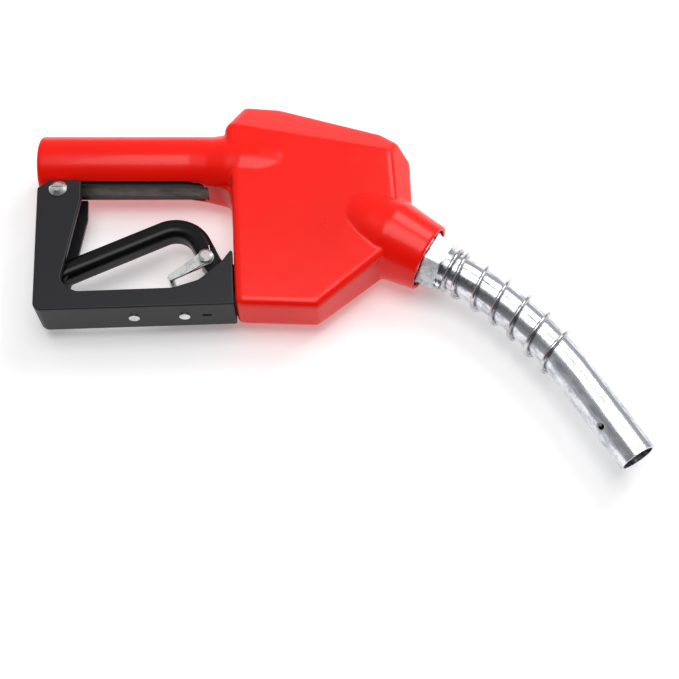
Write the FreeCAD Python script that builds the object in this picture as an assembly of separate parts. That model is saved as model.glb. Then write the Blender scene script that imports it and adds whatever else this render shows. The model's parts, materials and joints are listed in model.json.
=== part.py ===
import FreeCAD, Part
import math
import os

# Automatic shut-off fuel nozzle, lying on its side. Millimetres.
# Origin: centre of the inlet mouth, on the axis of the handle tube.
# +X runs forward along the handle, +Y to the nozzle's top side, +Z sideways (up, as it lies).

Vector = FreeCAD.Vector
X_AXIS = Vector(1, 0, 0)
Y_AXIS = Vector(0, 1, 0)
Z_AXIS = Vector(0, 0, 1)

# ---- clearances and fits ----
fit_gap = 0.05            # between fitted pieces that don't move
running_gap = 0.06        # radial, sliding rods and hinge pins
free_gap = 0.4            # between pieces that pass each other
reach = 400.0             # longer than anything that it cuts

# ---- handle tube ----
skin = 1.8                # wall of the vinyl insulator
handle_radius = 18.0      # over the insulator
skin_lip = 1.5            # insulator past the inlet face
inlet_bore_radius = 12.2
inlet_bore_depth = 20.0
passage_radius = 9.0
passage_flare = 0.6         # the passage widens by this just behind the body
passage_flare_lead = 1.2
strainer_flange_radius = 10.6
strainer_flange = 1.2
strainer_length = 22.0
bulge_start = 83.0        # where the tube starts to swell into the body
bulge_radius = 21.9
bulge_end = 156.0
bulge_drop = 6.0          # the swelling dips under the handle's axis, over its length
bulge_floor = -(handle_radius + 0.8)
gusset_half_width = 9.8   # vinyl web in the corner of handle and body
gusset_start = 88.0
gusset_drop = 12.0
gusset_round = 9.0

# ---- keel and lug under the handle ----
keel_half_width = 6.8
keel_bottom = -(handle_radius - 1.6)
keel_start = 21.0
keel_short_of_body = 2.5
lug_behind_screw = 4.4
lug_ahead_of_screw = 8.2
lug_below_screw = 6.6
lug_half_width = 8.4

# ---- body ----
body_rear_x = 107.8       # rear face just under the handle
body_rear_low_x = 112.8   # rear face at the bottom
body_rear_y = -19.0
shoulder_x = 103.0        # rear shoulder over the handle
shoulder_y = 13.0
crown_rear_x = 111.0
crown_rear_y = 34.0
crown_y = 36.3            # highest point
crown_front_x = 133.0
brow_x = 192.0            # where the sloping top meets the brow
brow_y = 15.4
front_x = 208.0
front_y = 0.5
chin_x = 198.5            # upper end of the lower slope
chin_y = -60.0
toe_x = 156.5             # lower end of the lower slope
bottom_y = -96.5
flat_top_x1 = 120.0       # upper edge of the side flats, rear end
flat_top_y1 = 12.4
flat_top_x2 = 196.7       # upper edge of the side flats, front end
flat_top_y2 = -2.1
flat_half_width = 21.5    # half width at the upper rear corner of the flats
bottom_half_width = 12.4  # half width at the bottom
ridge_half_width = 8.0    # half width along the top ridge
flat_front_x = 197.3      # front edge of the side flats
flat_front_half_width = 19.4
nose_half_width = 6.0     # half width of the front face
body_round = 4.0          # edge radius over the insulator
bottom_rise = 1.5         # underside's rise from the toe back to the rear face

# ---- neck (along its own axis; s = 0 at the collar mouth) ----
neck_x = 216.7
neck_y = -59.7
neck_drop_deg = 31.0
collar_radius = 19.0
neck_radius = 22.6
neck_wide_s = -24.0
neck_tail_s = -54.0
collar_lip = 0.8
nut_thread_radius = 15.0
nut_thread_s = -18.0
adaptor_radius = 13.0
adaptor_s = -36.0
neck_flow_radius = 10.0
neck_flow_s = -58.0

# ---- spout ----
spout_radius = 10.3       # 13/16 inch tube
spout_wall = 1.6
spout_flare_radius = 12.9
spout_flare_length = 3.0
bend_start_s = 6.8
bend_radius = 205.0
bend_deg = 28.5
tip_length = 49.0         # straight stretch after the bend
vent_back = 22.0          # vent hole to the tip
vent_hole_radius = 2.6
vent_side_deg = 35.0      # vent hole's turn toward the side that lies up

# ---- spout nut ----
nut_across_flats = 28.0
nut_head_length = 11.5
nut_chamfer = 1.6

# ---- anchor spring ----
anchor_wire_radius = 1.15
anchor_clear = 0.35
anchor_turns_tight = 1.6
anchor_pitch_tight = 3.4
anchor_pitch = 13.4
anchor_turns = 5.55

# ---- main valve, on a vertical axis ----
valve_x = 127.0
chamber_radius = 10.0
chamber_top = 17.0
seat_y = -10.0
seat_wall = 5.0
seat_hole_radius = 6.5
poppet_radius = 8.6
poppet_thickness = 4.0
seal_thickness = 1.6
stem_radius = 2.5
stem_clear = 0.53         # stem's tip to the lever under it
cap_seat_y = 19.0
cap_flange_radius = 11.4
cap_flange_height = 4.0
cap_hex_across = 13.0
cap_top_y = 29.0

# ---- lower chamber ----
lower_behind_valve = 11.0
lower_ahead_of_plunger = 18.0
lower_y1 = -38.0
lower_half_width = 13.0

# ---- stem gland ----
gland_radius = 5.2
packing_top_y = -41.0
packing_length = 3.5
gland_hex_across = 12.0
gland_hex_height = 3.0

# ---- lever slot in the body ----
slot_top_y = -52.0
slot_half_width = 8.5
slot_ahead_of_plunger = 8.0

# ---- trip plunger, diaphragm and latch, on a second vertical axis ----
plunger_x = 155.0
bush_radius = 5.6
boss_wall = 1.9
bush_bottom_y = -50.0
bush_top_y = -14.0
plunger_radius = 4.25
plunger_spring_wire = 0.7
plunger_spring_clear = 0.65
plunger_top_y = -9.5
clevis_top_y = -68.5
clevis_slot_top_y = -71.4
clevis_foot = 3.2         # cheek below the lever pin
clevis_half_length = 6.0
clevis_half_width = 8.0
latch_pin_radius = 1.8
latch_bore_radius = 2.1
latch_pin_bottom_y = -24.0
latch_bore_bottom_y = -27.0
roller_radius = 1.1
roller_length = 4.6
roller_y = -12.2
diaphragm_y = 4.0
diaphragm_radius = 12.0
diaphragm_thickness = 1.2
diaphragm_bed_radius = 10.0
diaphragm_bed_depth = 9.0
plate_radius = 6.8
plate_thickness = 1.2
cover_height = 8.8
cover_wall = 1.6

# ---- lever ----
lever_tail_x = 16.5
lever_tail_y = -71.2
lever_peak_x = 84.3       # where the two straight stretches would meet
lever_peak_y = -37.5
lever_peak_round = 16.0
lever_heel_x = 101.0
lever_heel_y = -70.0
lever_heel_round = 12.0
pivot_y = -80.0
grip_half_height = 5.6
grip_half_width = 6.8
arm_half_height = 5.2
arm_half_width = 5.4
grip_end_share = 0.62     # of the falling stretch, where the grip steps down to the arm
pivot_eye_radius = 6.2
pivot_pin_radius = 2.5

# ---- lever guard ----
guard_half_width = 11.6
guard_wall = 3.4
guard_rear_top_x = -0.4
guard_rear_top_y = -21.0
guard_top_y = -(handle_radius - 2.4)
guard_top_x1 = 6.0
guard_top_x2 = 23.6
guard_rear_low_x = 6.0
guard_rear_low_y = -98.7
guard_front_low_y = -94.8
guard_corner = 5.0        # outer corner round, rear bottom
guard_edge = 0.9          # rounding along the outer edges
guard_side_wall = 2.8
guard_leg_x = 24.6        # inner edge of the rear leg, top
guard_leg_y = -28.7
guard_leg_low_x = 18.6
guard_floor_height = 11.4   # window's floor over the guard's underside
guard_ramp_x = 79.0
guard_notch_x = 105.0
guard_notch_y = -67.5
guard_tip_gap = 0.6       # guard's front tip to the body's rear face
guard_tip_y = -59.7
guard_screw_x = 11.4
guard_screw_y = -(handle_radius + 3.9)
guard_screw_radius = 2.4
guard_screw_head_radius = 5.0
guard_screw_head_height = 2.4
tongue_length = 9.7       # past the body's rear face
tongue_half_width = 8.0
tongue_top_y = -86.0
front_screw_inset = 5.7
front_screw_radius = 2.0
front_screw_half_length = 10.5

# ---- hold-open rack, clip and their rivets ----
rack_x1 = 51.0
rack_x2 = 95.0
rack_half_width = 4.0
rack_height = 1.0
rack_teeth = 4
rack_tooth_pitch = 5.0
rack_tooth_height = 0.8
rack_rivet_x1 = 58.0
rack_rivet_x2 = 85.0
rivet_radius = 1.6
rivet_head_radius = 2.9
rivet_head_height = 0.7
rivet_tail_height = 0.3
drain_x = 97.0              # slot in the underside of the guard
drain_length = 5.0
drain_half_width = 0.9
clip_x = 95.4            # pivot of the clip on the lever
clip_y = -63.6
clip_length = 22.0
clip_angle_deg = 214.0
clip_thickness = 1.4
clip_eye_radius = 4.4
clip_tip_radius = 1.9
clip_pin_radius = 2.2
clip_head_radius = 3.9
clip_spring_wire = 0.4
clip_spring_radius = 2.9
clip_spring_turns = 2
clip_spring_leg = 13.0

# ---- outlet check valve ----
check_stem_radius = 1.5

# ---- vent tube in the spout ----
vent_tube_radius = 2.6
vent_tube_wall = 0.6
vent_tube_offset = 5.0

# ---- derived ----
keel_end = body_rear_x - keel_short_of_body
lug_start = guard_screw_x - lug_behind_screw
lug_end = guard_screw_x + lug_ahead_of_screw
lug_bottom = guard_screw_y - lug_below_screw
lower_x1 = valve_x - lower_behind_valve
lower_x2 = plunger_x + lower_ahead_of_plunger
slot_front_x = plunger_x + slot_ahead_of_plunger
tongue_end_x = body_rear_low_x + tongue_length
front_screw_x = body_rear_low_x + front_screw_inset
rear_face_lean = (body_rear_low_x - body_rear_x) / (body_rear_y - bottom_y)
guard_tip_x = body_rear_x + rear_face_lean * (body_rear_y - guard_tip_y) - guard_tip_gap
arm_slope = (lever_heel_y - pivot_y) / (plunger_x - lever_heel_x)
arm_top_at_stem = (pivot_y + arm_slope * (plunger_x - valve_x)
                   + arm_half_height * math.hypot(1, arm_slope))
stem_tip_y = arm_top_at_stem + stem_clear
neck_drop = math.radians(neck_drop_deg)
neck_axis = Vector(math.cos(neck_drop), -math.sin(neck_drop), 0)
neck_up = Vector(math.sin(neck_drop), math.cos(neck_drop), 0)
neck_mouth = Vector(neck_x, neck_y, 0)
guard_slope = (guard_front_low_y - guard_rear_low_y) / (body_rear_low_x - free_gap - guard_rear_low_x)
tongue_y = guard_front_low_y + guard_wall
front_screw_y = (tongue_y + tongue_top_y) / 2
lever_clear = arm_half_width + free_gap
pivot_point = Vector(plunger_x, pivot_y, 0)


# ---- helpers ----
def box(x1, x2, y1, y2, half_width):
    """A block that reaches half_width to each side of the middle plane."""
    return Part.makeBox(x2 - x1, y2 - y1, 2 * half_width, Vector(x1, y1, -half_width))


def rod(start, direction, length, radius):
    return Part.makeCylinder(radius, length, start, direction)


def cross_rod(x, y, radius, z1, z2):
    """A rod that lies along Z."""
    return Part.makeCylinder(radius, z2 - z1, Vector(x, y, z1), Z_AXIS)


def upright(x, y1, y2, radius):
    """A rod that stands along Y."""
    return Part.makeCylinder(radius, y2 - y1, Vector(x, y1, 0), Y_AXIS)


def upright_ring(x, y1, y2, outer, inner):
    return upright(x, y1, y2, outer).cut(upright(x, y1 - 1, y2 + 1, inner))


def neck_point(s, up=0.0):
    """The point at distance s past the collar mouth, along the neck's axis."""
    return neck_mouth + neck_axis * s + neck_up * up


def neck_rod(s1, s2, radius):
    return rod(neck_point(s1), neck_axis, s2 - s1, radius)


def neck_ring(s1, s2, outer, inner):
    return neck_rod(s1, s2, outer).cut(neck_rod(s1 - 1, s2 + 1, inner))


def plate(points, z1, z2):
    """A flat plate with straight edges between z1 and z2."""
    corners = [Vector(x, y, z1) for x, y in points]
    face = Part.Face(Part.makePolygon(corners + corners[:1]))
    return face.extrude(Vector(0, 0, z2 - z1))


def turned(profile, origin, axis, side):
    """A solid of revolution: profile holds (distance along axis, radius) pairs."""
    points = [origin + axis * along + side * radius for along, radius in profile]
    face = Part.Face(Part.makePolygon(points + points[:1]))
    return face.revolve(origin, axis, 360)


def hex_prism(centre, axis, side, across_flats, length, chamfer):
    """A hexagonal prism with both ends turned down to a cone."""
    corner = across_flats / 2 / math.cos(math.pi / 6)
    other = axis.cross(side)
    points = []
    for i in range(6):
        angle = math.radians(60 * i + 30)
        points.append(centre + side * (corner * math.cos(angle)) + other * (corner * math.sin(angle)))
    prism = Part.Face(Part.makePolygon(points + points[:1])).extrude(axis * length)
    drop = chamfer * 0.55
    turned_blank = turned(
        [(0, 0), (0, corner - chamfer), (drop, corner), (length - drop, corner),
         (length, corner - chamfer), (length, 0)],
        centre, axis, side)
    return prism.common(turned_blank)


def half_space(point, normal):
    """A very large block on the outer side of a plane."""
    normal = Vector(normal).normalize()
    block = Part.makeBox(reach, reach, reach, Vector(-reach / 2, -reach / 2, 0))
    block.Placement = FreeCAD.Placement(point, FreeCAD.Rotation(Z_AXIS, normal))
    return block


def join(shapes):
    result = shapes[0]
    for shape in shapes[1:]:
        result = result.fuse(shape)
    return result.removeSplitter()


def cut_all(shape, tools):
    for tool in tools:
        shape = shape.cut(tool)
    return shape


def rounded_path(points, radii):
    """A flat wire of straight stretches joined by tangent arcs at the inner points."""
    edges = []
    start = points[0]
    for i, radius in enumerate(radii):
        before, corner, after = points[i], points[i + 1], points[i + 2]
        back = (before - corner).normalize()
        onward = (after - corner).normalize()
        half = back.getAngle(onward) / 2
        inset = radius / math.tan(half)
        bisector = (back + onward).normalize()
        centre = corner + bisector * (radius / math.sin(half))
        first = corner + back * inset
        last = corner + onward * inset
        middle = centre - bisector * radius
        edges.append(Part.makeLine(start, first))
        edges.append(Part.Arc(first, middle, last).toShape())
        start = last
    edges.append(Part.makeLine(start, points[-1]))
    return Part.Wire(edges)


def rounded_bar(path, half_height, half_width, corner):
    """A bar of rounded rectangular section swept along a flat path."""
    first = path.Edges[0]
    start = first.valueAt(first.FirstParameter)
    along = first.tangentAt(first.FirstParameter)
    up = Z_AXIS.cross(along)
    h = half_height
    w = half_width
    ring = []
    for sign_h, sign_w in ((1, 1), (-1, 1), (-1, -1), (1, -1)):
        a = start + up * (sign_h * h) + Z_AXIS * (sign_w * (w - corner))
        b = start + up * (sign_h * (h - corner)) + Z_AXIS * (sign_w * w)
        pull = corner * (1 - math.sqrt(0.5))
        middle = start + up * (sign_h * (h - pull)) + Z_AXIS * (sign_w * (w - pull))
        ring.append((a, middle, b) if sign_h * sign_w > 0 else (b, middle, a))
    edges = []
    for i, (a, middle, b) in enumerate(ring):
        edges.append(Part.Arc(a, middle, b).toShape())
        edges.append(Part.makeLine(b, ring[(i + 1) % 4][0]))
    sweep = Part.BRepOffsetAPI.MakePipeShell(path)
    sweep.setBiNormalMode(Z_AXIS)
    sweep.add(Part.Wire(edges))
    sweep.build()
    sweep.makeSolid()
    return sweep.shape()


def smooth_tube(points, radius):
    """A round wire along a smooth curve through the points."""
    curve = Part.BSplineCurve()
    curve.interpolate(points)
    path = Part.Wire(curve.toShape())
    start = curve.value(curve.FirstParameter)
    along = curve.tangent(curve.FirstParameter)[0]
    sweep = Part.BRepOffsetAPI.MakePipeShell(path)
    sweep.setFrenetMode(False)
    sweep.add(Part.Wire(Part.Circle(start, along, radius).toShape()))
    sweep.build()
    sweep.makeSolid()
    return sweep.shape()


def coil(x, y1, y2, coil_radius, wire_radius, turns):
    """A compression spring that stands along Y, its wire's ends inside y1 to y2."""
    low = y1 + wire_radius
    rise = y2 - y1 - 2 * wire_radius
    steps = int(turns * 12)
    points = []
    for i in range(steps + 1):
        angle = 2 * math.pi * turns * i / steps
        side = math.cos(angle) * coil_radius
        points.append(Vector(x + side, low + rise * i / steps, math.sin(angle) * coil_radius))
    return smooth_tube(points, wire_radius)


# ---- body shape, for the insulator (inset 0) and for the casting under it ----
def bounded_block(planes, inset):
    """The space inside all the planes, each moved in by inset, with its edges rounded."""
    block = box(0, reach, -reach / 2, reach / 2, reach / 4)
    for point, normal in planes:
        unit = Vector(normal).normalize()
        block = block.cut(half_space(point - unit * inset, unit))
    return block.makeFillet(body_round - inset, block.Edges)


def body_block(inset):
    """The body without handle and neck, each face moved in by inset."""
    side_run = flat_top_y1 - bottom_y
    side_rise = flat_half_width - bottom_half_width
    ridge = Vector(crown_front_x, crown_y, ridge_half_width)
    corner1 = Vector(flat_top_x1, flat_top_y1, flat_half_width)
    corner2 = Vector(flat_top_x2, flat_top_y2,
                     flat_half_width - side_rise * (flat_top_y1 - flat_top_y2) / side_run)
    bevel = (corner2 - corner1).cross(ridge - corner1)
    bevel = bevel if bevel.z > 0 else bevel * -1
    cheek = Vector(flat_front_half_width - nose_half_width, 0, front_x - flat_front_x)
    flat = [
        (Vector(crown_rear_x, crown_y, 0), Vector(0, 1, 0)),
        (Vector(brow_x, brow_y, 0), Vector(crown_y - brow_y, brow_x - crown_front_x, 0)),
        (Vector(front_x, front_y, 0), Vector(brow_y - front_y, front_x - brow_x, 0)),
        (Vector(front_x, front_y, 0), Vector(1, 0.02, 0)),
        (Vector(chin_x, chin_y, 0), Vector(chin_y - bottom_y, toe_x - chin_x, 0)),
        (Vector(toe_x, bottom_y, 0), Vector(-bottom_rise, body_rear_low_x - toe_x, 0)),
        (Vector(shoulder_x, shoulder_y, 0),
         Vector(shoulder_y - crown_rear_y, crown_rear_x - shoulder_x, 0)),
    ]
    slanted = [
        (corner1, Vector(0, -side_rise, side_run)),
        (corner1, bevel),
        (Vector(flat_front_x, 0, flat_front_half_width), cheek),
    ]
    planes = list(flat)
    for point, normal in slanted:
        planes.append((point, normal))
        planes.append((Vector(point.x, point.y, -point.z), Vector(normal.x, normal.y, -normal.z)))
    rear_low = (Vector(body_rear_x, body_rear_y, 0),
                Vector(bottom_y - body_rear_y, -(body_rear_low_x - body_rear_x), 0))
    rear_high = (Vector(shoulder_x, shoulder_y, 0),
                 Vector(body_rear_y - shoulder_y, -(body_rear_x - shoulder_x), 0))
    return join([bounded_block(planes + [rear], inset) for rear in (rear_low, rear_high)])


def handle_shape(inset, start):
    """The handle tube and the swelling where it runs into the body."""
    tube = handle_radius - inset
    swell = bulge_radius - inset
    origin = Vector(bulge_start, 0, 0)
    axis = Vector(bulge_end - bulge_start, -bulge_drop, 0).normalize()
    length = bulge_end - bulge_start
    side = Z_AXIS.cross(axis)
    bulge = turned(
        [(0, 0), (0, tube - 0.1), (0.16 * length, tube + 0.7), (0.3 * length, swell - 1.0),
         (0.42 * length, swell - 0.1), (0.56 * length, swell - 0.2), (0.7 * length, swell - 1.3),
         (0.84 * length, swell - 3.4), (length, swell - 7), (length, 0)],
        origin, axis, side)
    bulge = bulge.cut(box(bulge_start - 1, body_rear_x, -reach / 4, bulge_floor + inset, reach / 4))
    return join([rod(Vector(start, 0, 0), X_AXIS, body_rear_x - start, tube), bulge])


def neck_shape(inset, end):
    """The tapered neck, from inside the body to its mouth."""
    return turned(
        [(neck_tail_s, 0), (neck_tail_s + inset, 14 - inset), (neck_tail_s + 8, 19.4 - inset),
         (neck_wide_s - 12, neck_radius - 1.2 - inset), (neck_wide_s, neck_radius - inset),
         (-2, collar_radius + 0.3 - inset), (end, collar_radius - inset), (end, 0)],
        neck_mouth, neck_axis, neck_up)


def envelope(inset, handle_start, neck_end):
    return join([body_block(inset), handle_shape(inset, handle_start), neck_shape(inset, neck_end)])


def under_handle(extra):
    """The keel and the lug that stand out of the handle's underside."""
    keel = box(keel_start, keel_end, keel_bottom - extra, -passage_radius - 2, keel_half_width + extra)
    lug = box(lug_start - extra, lug_end + extra, lug_bottom - extra, -passage_radius - 3,
              lug_half_width + extra)
    return join([keel, lug])


# ---- fixed pieces ----
def body_casting():
    solid = join([envelope(skin, 0, -1), under_handle(0)])
    slot = box(shoulder_x - 4, slot_front_x, bottom_y - 5, slot_top_y, slot_half_width)
    lower = box(lower_x1, lower_x2, lower_y1, seat_y - seat_wall, lower_half_width)
    lower = lower.makeFillet(4.0, lower.Edges)
    boss = upright(plunger_x, lower_y1 - 1, seat_y - seat_wall + 1, bush_radius + boss_wall)
    inlet = rod(Vector(-1, 0, 0), X_AXIS, inlet_bore_depth + 1, inlet_bore_radius)
    passage = rod(Vector(0, 0, 0), X_AXIS, valve_x, passage_radius)
    flare_x = body_rear_x - passage_flare_lead
    flare = rod(Vector(flare_x, 0, 0), X_AXIS, valve_x - flare_x, passage_radius + passage_flare)
    solid = cut_all(solid, [
        slot,
        lower.cut(boss),
        inlet,
        rod(Vector(inlet_bore_depth - 1, 0, 0), X_AXIS, strainer_flange + 1 + fit_gap,
            strainer_flange_radius + fit_gap),
        passage,
        flare,
        upright(valve_x, seat_y, reach / 4, chamber_radius),
        upright(valve_x, cap_seat_y, reach / 4, cap_flange_radius + fit_gap),
        upright(valve_x, lower_y1 - 2, seat_y + 1, seat_hole_radius).common(
            box(valve_x - 20, valve_x + 20, seat_y - seat_wall - 1, seat_y + 1, 20)),
        upright(valve_x, packing_top_y - 1, lower_y1 + 1, stem_radius + running_gap),
        upright(valve_x, slot_top_y - 1, packing_top_y, gland_radius + fit_gap),
        upright(plunger_x, slot_top_y - 1, diaphragm_y, bush_radius + fit_gap),
        upright(plunger_x, diaphragm_y - diaphragm_bed_depth, diaphragm_y, diaphragm_bed_radius),
        upright(plunger_x, diaphragm_y, reach / 4, diaphragm_radius + fit_gap),
        neck_rod(neck_flow_s, 5, neck_flow_radius),
        neck_rod(adaptor_s, 5, adaptor_radius + fit_gap),
        neck_rod(nut_thread_s, 5, nut_thread_radius + fit_gap),
        cross_rod(guard_screw_x, guard_screw_y, guard_screw_radius + fit_gap, -20, 20),
        cross_rod(front_screw_x, front_screw_y, front_screw_radius + fit_gap, -20, 20),
    ])
    return solid


def corner_gusset():
    """The vinyl web that rounds the window's corner between handle and body."""
    top = -handle_radius + 4
    end_x = body_rear_x + 1.0
    web = plate([(gusset_start, top), (end_x, top), (end_x, bulge_floor - gusset_drop),
                 (body_rear_x - 0.6, bulge_floor - gusset_drop),
                 (body_rear_x - gusset_round, bulge_floor), (gusset_start + 4, bulge_floor + 1.6)],
                -gusset_half_width, gusset_half_width)
    hollow = cross_rod(body_rear_x - gusset_round, bulge_floor - gusset_round, gusset_round, -20, 20)
    return cut_all(web, [hollow, envelope(skin, 0, -1), under_handle(fit_gap)])


def hand_insulator():
    outer = envelope(0, -skin_lip, collar_lip)
    mouth = rod(Vector(-skin_lip - 1, 0, 0), X_AXIS, skin_lip + 2, inlet_bore_radius + 1.6)
    rear_opening = box(shoulder_x - 4, lower_x1, tongue_y, slot_top_y - 1, slot_half_width + 0.5)
    skin_shell = cut_all(outer, [
        envelope(skin, 0, -1),
        box(lug_start - 1.0, keel_end + 0.5, -reach / 2, -passage_radius, lug_half_width + 0.4).common(
            box(0, keel_end + 0.5, lug_bottom - 1, -passage_radius, lug_half_width + 0.4)),
        neck_rod(-2, 5, collar_radius - skin - 0.6),
        mouth,
    ])
    return join([skin_shell, corner_gusset()]).cut(rear_opening)


def guard_underside(x):
    """Height of the guard's sloping underside."""
    return guard_rear_low_y + guard_slope * (x - guard_rear_low_x)


def guard_floor(x):
    """Height of the channel's floor, inside the lower leg."""
    return guard_underside(x) + guard_wall


def window_floor(x):
    """Height of the window's lower edge."""
    return guard_underside(x) + guard_floor_height


def on_guard_floor(shape):
    """Tilts what was built on the level so that it stands on the channel's floor."""
    angle = math.degrees(math.atan(guard_slope))
    return shape.rotated(Vector(0, 0, 0), Z_AXIS, angle).translated(Vector(0, guard_floor(0), 0))


def rounded_plate(corners, z1, z2):
    """A flat plate whose corners, each (x, y, radius), are rounded."""
    solid = plate([(x, y) for x, y, _ in corners], z1, z2)
    for x, y, radius in corners:
        if radius > 0:
            edges = [e for e in solid.Edges
                     if all(math.hypot(v.X - x, v.Y - y) < 1e-6 for v in e.Vertexes)]
            solid = solid.makeFillet(radius, edges)
    return solid


def guard_outline():
    rear_x = guard_leg_low_x
    front_x = body_rear_low_x - free_gap
    return [
        (guard_rear_top_x, guard_rear_top_y, 2.0), (guard_top_x1, guard_top_y, 1.5),
        (guard_top_x2, guard_top_y, 1.0), (guard_leg_x, guard_leg_y, 2.0),
        (rear_x, window_floor(rear_x) + 7, 6.0), (rear_x + 8, window_floor(rear_x), 8.0),
        (guard_ramp_x, window_floor(guard_ramp_x), 12.0),
        (guard_ramp_x + 14, window_floor(guard_ramp_x) + 5, 12.0),
        (guard_notch_x, guard_notch_y, 3.0), (guard_tip_x, guard_tip_y, 0.0),
        (front_x, guard_front_low_y, 0.0), (guard_rear_low_x, guard_rear_low_y, guard_corner),
    ]


def lever_guard():
    solid = rounded_plate(guard_outline(), -guard_half_width, guard_half_width)
    rims = [e for e in solid.Edges if all(abs(abs(v.Z) - guard_half_width) < 1e-6 for v in e.Vertexes)]
    solid = solid.makeFillet(guard_edge, rims)
    side = guard_half_width - guard_side_wall
    inner_x = guard_rear_low_x + guard_wall
    leg_x = guard_leg_x + 10
    high = guard_top_y + 5
    inside = plate([
        (guard_rear_top_x + guard_wall, high), (leg_x, high), (leg_x, window_floor(leg_x) + 6),
        (guard_tip_x + 5, window_floor(guard_tip_x) + 6), (guard_tip_x + 5, guard_floor(guard_tip_x + 5)),
        (inner_x + 2, guard_floor(inner_x + 2)), (inner_x, guard_floor(inner_x) + 2),
    ], -side, side)
    upper = plate([
        (guard_leg_x + 5, window_floor(guard_leg_x)), (guard_tip_x + 5, window_floor(guard_tip_x)),
        (guard_tip_x + 5, 0), (guard_leg_x + 5, 0)], -side, side)
    tongue = box(guard_tip_x - 14, tongue_end_x, tongue_y - 1, tongue_top_y, tongue_half_width)
    solid = join([solid.cut(inside).cut(upper), tongue])
    rivet_holes = [
        on_guard_floor(upright(x, -guard_wall - 1, 1, rivet_radius + fit_gap))
        for x in (rack_rivet_x1, rack_rivet_x2)]
    drain = box(drain_x - drain_length / 2, drain_x + drain_length / 2, -guard_wall - 1, 1,
                drain_half_width)
    return cut_all(solid, rivet_holes + [
        on_guard_floor(drain),
        cross_rod(guard_screw_x, guard_screw_y, guard_screw_radius + fit_gap, -20, 20),
        cross_rod(front_screw_x, front_screw_y, front_screw_radius + fit_gap, -20, 20),
        box(body_rear_low_x - free_gap, tongue_end_x + 1, guard_front_low_y - 3, tongue_y, 20),
        rod(Vector(-10, 0, 0), X_AXIS, 60, handle_radius + free_gap),
    ])


def guard_rear_screw():
    head = turned(
        [(0, 0), (0, guard_screw_head_radius), (0.6, guard_screw_head_radius),
         (guard_screw_head_height, guard_screw_head_radius * 0.55), (guard_screw_head_height, 0)],
        Vector(guard_screw_x, guard_screw_y, guard_half_width), Z_AXIS, X_AXIS)
    shank = cross_rod(guard_screw_x, guard_screw_y, guard_screw_radius, -guard_half_width - 3.4,
                      guard_half_width + 0.1)
    drive = box(guard_screw_x - 3.2, guard_screw_x + 3.2, guard_screw_y - 0.5, guard_screw_y + 0.5, 50)
    drive = drive.common(cross_rod(guard_screw_x, guard_screw_y, 6, guard_half_width + 1.4, 50))
    return join([head, shank]).cut(drive)


def guard_rear_nut():
    nut = hex_prism(Vector(guard_screw_x, guard_screw_y, -guard_half_width), Vector(0, 0, -1), X_AXIS,
                    8.0, 3.0, 0.8)
    return nut.cut(cross_rod(guard_screw_x, guard_screw_y, guard_screw_radius + 0.02, -50, 50))


def guard_front_screw():
    return cross_rod(front_screw_x, front_screw_y, front_screw_radius,
                     -front_screw_half_length, front_screw_half_length)


def hold_open_rack():
    base = box(rack_x1, rack_x2, 0, rack_height, rack_half_width)
    teeth = []
    for i in range(rack_teeth):
        x = rack_rivet_x1 + 2 * rivet_head_radius + rack_tooth_pitch * (i - 0.2)
        teeth.append(plate([(x, rack_height - 0.2), (x + rack_tooth_pitch * 0.8, rack_height - 0.2),
                            (x + rack_tooth_pitch * 0.8, rack_height + rack_tooth_height)],
                           -rack_half_width, rack_half_width))
    solid = cut_all(join([base] + teeth), [
        upright(x, -1, 9, rivet_radius + fit_gap) for x in (rack_rivet_x1, rack_rivet_x2)])
    return on_guard_floor(solid)


def rack_rivets():
    rivets = []
    for x in (rack_rivet_x1, rack_rivet_x2):
        rivets.append(on_guard_floor(join([
            upright(x, -guard_wall - rivet_head_height, -guard_wall, rivet_head_radius),
            upright(x, -guard_wall - 0.1, rack_height + 0.1, rivet_radius),
            upright(x, rack_height, rack_height + rivet_tail_height, rivet_head_radius - 0.9),
        ])))
    return Part.makeCompound(rivets)


def poppet_cap():
    thread = upright(valve_x, chamber_top - 3, cap_seat_y + 0.1, chamber_radius - fit_gap)
    flange = upright(valve_x, cap_seat_y + 0.6, cap_seat_y + cap_flange_height, cap_flange_radius)
    neck = upright(valve_x, cap_seat_y - 1, cap_seat_y + 1, chamber_radius - fit_gap)
    nut = hex_prism(Vector(valve_x, cap_seat_y + cap_flange_height - 0.1, 0), Y_AXIS, X_AXIS, cap_hex_across,
                    cap_top_y - cap_seat_y - cap_flange_height, 1.0)
    spring_guide = upright(valve_x, chamber_top - 6, chamber_top - 2, 3.6)
    return join([thread, neck, flange, nut, spring_guide])


def cap_o_ring():
    ring = Part.makeTorus(chamber_radius + 0.65, 0.55, Vector(valve_x, cap_seat_y + 0.3, 0), Y_AXIS)
    return ring.common(box(valve_x - 20, valve_x + 20, cap_seat_y, cap_seat_y + 0.6, 20))


def poppet_spring():
    return coil(valve_x, seat_y + seal_thickness + poppet_thickness, chamber_top - 3, 6.0, 0.6, 6)


def stem_packing():
    return upright_ring(valve_x, packing_top_y - packing_length, packing_top_y, gland_radius,
                        stem_radius + running_gap)


def stem_gland():
    bottom = slot_top_y - 0.2
    body = upright(valve_x, bottom, packing_top_y - packing_length, gland_radius)
    head = hex_prism(Vector(valve_x, bottom - gland_hex_height, 0), Y_AXIS, X_AXIS, gland_hex_across,
                     gland_hex_height + 0.1, 0.9)
    return join([body, head]).cut(upright(valve_x, -reach / 2, 0, stem_radius + running_gap))


def plunger_bush():
    return upright_ring(plunger_x, bush_bottom_y, bush_top_y, bush_radius, plunger_radius + running_gap)


def plunger_spring():
    around = plunger_radius + plunger_spring_clear + plunger_spring_wire
    return coil(plunger_x, clevis_top_y + 0.2, slot_top_y - 0.2, around, plunger_spring_wire, 5)


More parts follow.
